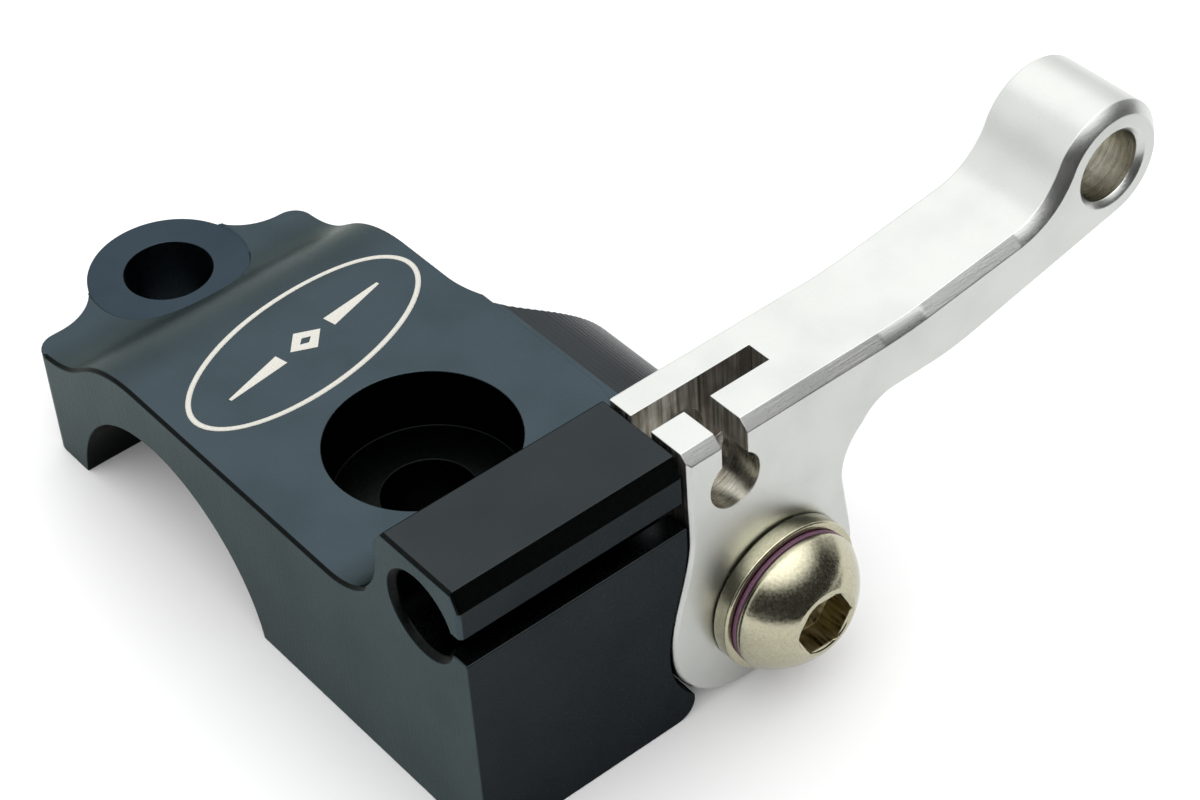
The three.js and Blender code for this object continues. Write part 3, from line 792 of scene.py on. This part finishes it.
def milled(name, grazing):
    """Cut smooth before anodising, so darker and more neutral, with faint cutter lines."""
    material, tree, shader = metal(name, (grazing, grazing, grazing))
    fine, broad = noise(tree, 0.25), noise(tree, 8.0, detail=2.0)
    connect(tree, blend(tree, spread(tree, broad, 0, 1), (0.0275, 0.0320, 0.0340), (0.0330, 0.0380, 0.0405)),
            shader, "Base Color")
    connect(tree, spread(tree, fine, 0.26, 0.32), shader, "Roughness")
    bump(tree, shader, noise(tree, 0.12, (60, 1, 1)), 0.004)
    return material


def painted_shade_black():
    """Painted shade, nearly black: painted dark reflection on the chamfers and painted shade in the bores,
    the pocket and the saddle.
    """
    material, tree, shader = metal("painted_shade_anodised", (0.6, 0.6, 0.6))
    fine = noise(tree, 0.25)
    connect(tree, blend(tree, spread(tree, fine, 0, 1), (0.006, 0.0075, 0.0072), (0.010, 0.0115, 0.011)),
            shader, "Base Color")
    connect(tree, spread(tree, fine, 0.28, 0.36), shader, "Roughness")
    return material


def satin_aluminium():
    """Fine satin with faint lines along the arm."""
    material, tree, shader = metal("satin_aluminium")
    grit, broad = noise(tree, 0.13, detail=4.0), noise(tree, 4.0, detail=2.0)
    lines = noise(tree, 0.16, (30, 1, 1))
    tone = weighted(tree, spread(tree, grit, 0, 1), 0.5, spread(tree, broad, 0, 1))
    connect(tree, blend(tree, tone, (0.52, 0.535, 0.515), (0.58, 0.59, 0.57)),
            shader, "Base Color")
    connect(tree, spread(tree, grit, 0.27, 0.38), shader, "Roughness")
    grain = bump(tree, shader, grit, 0.006)
    bump(tree, shader, lines, 0.006, grain)
    return material


def sawn_aluminium():
    """Slot walls: oily brown with the saw's marks."""
    material, tree, shader = metal("sawn_aluminium")
    marks, stain = noise(tree, 0.22, (1, 1, 30)), noise(tree, 1.2)
    tone = add(tree, "Math", {"operation": "MULTIPLY"})
    tree.links.new(spread(tree, stain, 0.6, 1.4), tone.inputs[0])
    tree.links.new(spread(tree, marks, 0.0, 1.0), tone.inputs[1])
    connect(tree, blend(tree, tone.outputs[0], (0.24, 0.215, 0.185), (0.78, 0.765, 0.72)),
            shader, "Base Color")
    connect(tree, spread(tree, marks, 0.28, 0.5), shader, "Roughness")
    bump(tree, shader, marks, 0.03)
    return material


def reamed_aluminium():
    """Hole walls: bright rings round the hole, with a warm film."""
    material, tree, shader = metal("reamed_aluminium")
    rings, stain = noise(tree, 0.25, (12, 1, 12)), noise(tree, 1.5)
    connect(tree, blend(tree, spread(tree, stain, 0, 1), (0.34, 0.32, 0.26), (0.62, 0.61, 0.55)),
            shader, "Base Color")
    connect(tree, spread(tree, rings, 0.2, 0.34), shader, "Roughness")
    bump(tree, shader, rings, 0.02)
    return material


def stainless():
    """Warm polished steel with a faint ripple."""
    material, tree, shader = metal("stainless")
    fine = noise(tree, 0.2)
    connect(tree, blend(tree, spread(tree, fine, 0, 1), (0.39, 0.37, 0.265), (0.50, 0.48, 0.36)),
            shader, "Base Color")
    connect(tree, spread(tree, fine, 0.14, 0.24), shader, "Roughness")
    bump(tree, shader, noise(tree, 0.5), 0.01)
    return material


def socket_brown():
    """Broached socket with a dark film and scratches."""
    material, tree, shader = metal("socket_film")
    marks = noise(tree, 0.3, (1, 6, 1), detail=5.0)
    connect(tree, blend(tree, spread(tree, marks, 0, 1), (0.12, 0.09, 0.04), (0.60, 0.53, 0.32)),
            shader, "Base Color")
    connect(tree, spread(tree, marks, 0.2, 0.45), shader, "Roughness")
    bump(tree, shader, marks, 0.05)
    return material


def bronze():
    """Turned bearing bronze."""
    material, tree, shader = metal("turned_bronze")
    fine = noise(tree, 0.2)
    connect(tree, blend(tree, spread(tree, fine, 0, 1), (0.50, 0.36, 0.18), (0.62, 0.46, 0.26)),
            shader, "Base Color")
    connect(tree, spread(tree, fine, 0.25, 0.4), shader, "Roughness")
    return material


def plum_ring_colour():
    """Dull plum colour of the thin ring between the screw head and the washer."""
    material, tree, shader = new_material("plum_ring_tone")
    fine = noise(tree, 0.12)
    connect(tree, blend(tree, spread(tree, fine, 0, 1), (0.07, 0.025, 0.05), (0.15, 0.065, 0.115)),
            shader, "Base Color")
    connect(tree, spread(tree, fine, 0.4, 0.6), shader, "Roughness")
    bump(tree, shader, fine, 0.01)
    return material


def etched():
    """Matt ivory where the anodising was etched away."""
    material, tree, shader = new_material("etched_ivory")
    fine = noise(tree, 0.12)
    connect(tree, blend(tree, spread(tree, fine, 0, 1), (0.44, 0.43, 0.385), (0.56, 0.55, 0.50)),
            shader, "Base Color")
    connect(tree, spread(tree, fine, 0.6, 0.8), shader, "Roughness")
    return material


def paper():
    """Matt pale paper, nearly even."""
    material, tree, shader = new_material("pale_floor")
    soft = noise(tree, 40.0, detail=1.0)
    connect(tree, blend(tree, spread(tree, soft, 0, 1), (0.78, 0.78, 0.78), (0.80, 0.80, 0.80)),
            shader, "Base Color")
    shader.inputs["Roughness"].default_value = 0.9
    return material


# ---- studio --------------------------------------------------------------------------------------

AZIMUTH, ELEVATION, ROLL = -36.774, 42.34, -4.145  # the photo's viewing angle, in degrees
EYE = (-0.0788646, -0.140635, 0.150642)  # metres
FOCUS, SENSOR = 91.97, 36.0
AIM = (0.01, -0.01, 0.01)  # the light points here
CARD_LOW, CARD_HIGH = (-300, -900, 0.2), (110, -75, 0.4)  # millimetres


def camera():
    """Camera at the photo's viewing angle, built from its three turns."""
    a, e, r = (math.radians(v) for v in (AZIMUTH, ELEVATION, ROLL))
    back = Vector((math.sin(a) * math.cos(e), -math.cos(a) * math.cos(e), math.sin(e)))
    level = Vector((math.cos(a), math.sin(a), 0))
    plumb = back.cross(level)
    right = level * math.cos(r) + plumb * math.sin(r)
    up = back.cross(right)
    data = bpy.data.cameras.new("camera")
    data.lens, data.sensor_width, data.clip_start, data.clip_end = FOCUS, SENSOR, 0.005, 20.0
    made = bpy.data.objects.new("camera", data)
    made.matrix_world = Matrix.Translation(EYE) @ Matrix((right, up, back)).transposed().to_4x4()
    scene.collection.objects.link(made)
    scene.camera = made


def softbox(name, place, size, power):
    """A rectangular light aimed at the object."""
    data = bpy.data.lights.new(name, "AREA")
    data.shape, data.size, data.size_y, data.energy = "RECTANGLE", *size, power
    made = bpy.data.objects.new(name, data)
    made.location = place
    made.rotation_euler = (Vector(AIM) - Vector(place)).to_track_quat("-Z", "Y").to_euler()
    made.visible_camera = False
    scene.collection.objects.link(made)


def world():
    """Even white light from all round, which is the background too."""
    scene.world = bpy.data.worlds.new("studio")
    scene.world.use_nodes = True
    shade = scene.world.node_tree.nodes["Background"]
    shade.inputs["Color"].default_value = (1.0, 1.0, 1.0, 1)
    shade.inputs["Strength"].default_value = 1.6
    scene.world.cycles_visibility.glossy = False  # reflections see the light tent instead


def floor():
    """Plain pale floor, a hair below the object."""
    bpy.ops.mesh.primitive_plane_add(size=6, location=(0, 0, -0.00002))
    made = bpy.context.object
    made.name = "floor"
    made.data.materials.append(paper())


def ramp(tree, value, low, high, dark, bright):
    """Rises smoothly from dark to bright while a value goes from low to high."""
    step = {"interpolation_type": "SMOOTHSTEP"}
    out = add(tree, "MapRange", step, Value=value, From_Min=low, From_Max=high, To_Min=dark, To_Max=bright)
    return out.outputs["Result"]


def only_reflected(made):
    """Hides an object from everything but reflections."""
    for rays in ("camera", "diffuse", "transmission", "volume_scatter", "shadow"):
        setattr(made, "visible_" + rays, False)


def tent():
    """Light tent that only reflections see: bright overhead and behind, dark low down in front."""
    bm = bmesh.new()
    bmesh.ops.create_icosphere(bm, subdivisions=4, radius=1.0)
    made = shown("light_tent", bm)
    only_reflected(made)
    material = bpy.data.materials.new("light_tent")
    material.use_nodes = True
    tree = material.node_tree
    tree.nodes.clear()
    way = add(tree, "SeparateXYZ", Vector=add(tree, "TexCoord").outputs["Object"]).outputs
    behind = ramp(tree, way["Z"], 0.0, 0.6, 1.0, 1.28)
    in_front = ramp(tree, way["Z"], 0.45, 0.9, 0.05, 2.8)
    front_share = ramp(tree, way["Y"], 0.2, -0.5, 0.0, 1.0)
    level = add(tree, "Mix", {"data_type": "FLOAT"}, Factor=front_share)
    tree.links.new(behind, level.inputs[2])
    tree.links.new(in_front, level.inputs[3])
    glow = add(tree, "Emission", Strength=level.outputs[0])
    out = add(tree, "OutputMaterial")
    tree.links.new(glow.outputs[0], out.inputs["Surface"])
    material.cycles.emission_sampling = "NONE"
    made.data.materials.append(material)


def dark_card():
    """Black card on the floor in front, out of the picture's sight: only reflections see it."""
    made = block(CARD_LOW, CARD_HIGH)
    made.name = "dark_card"
    made.data.transform(Matrix.Scale(MM, 4))
    only_reflected(made)
    material, _, shader = new_material("dark_card")
    shader.inputs["Base Color"].default_value = (0.01, 0.01, 0.01, 1)
    shader.inputs["Roughness"].default_value = 1.0
    shader.inputs["Specular IOR Level"].default_value = 0.0
    made.data.materials.append(material)


# ---- scene ---------------------------------------------------------------------------------------

clamp_body()
lever()
bushing()
washer()
head_ring()
screw()
mark()
camera()
floor()
world()
tent()
dark_card()
softbox("overhead", (0.15, 0.25, 0.45), (0.5, 0.4), 0.25)
scene.view_settings.view_transform = "Standard"
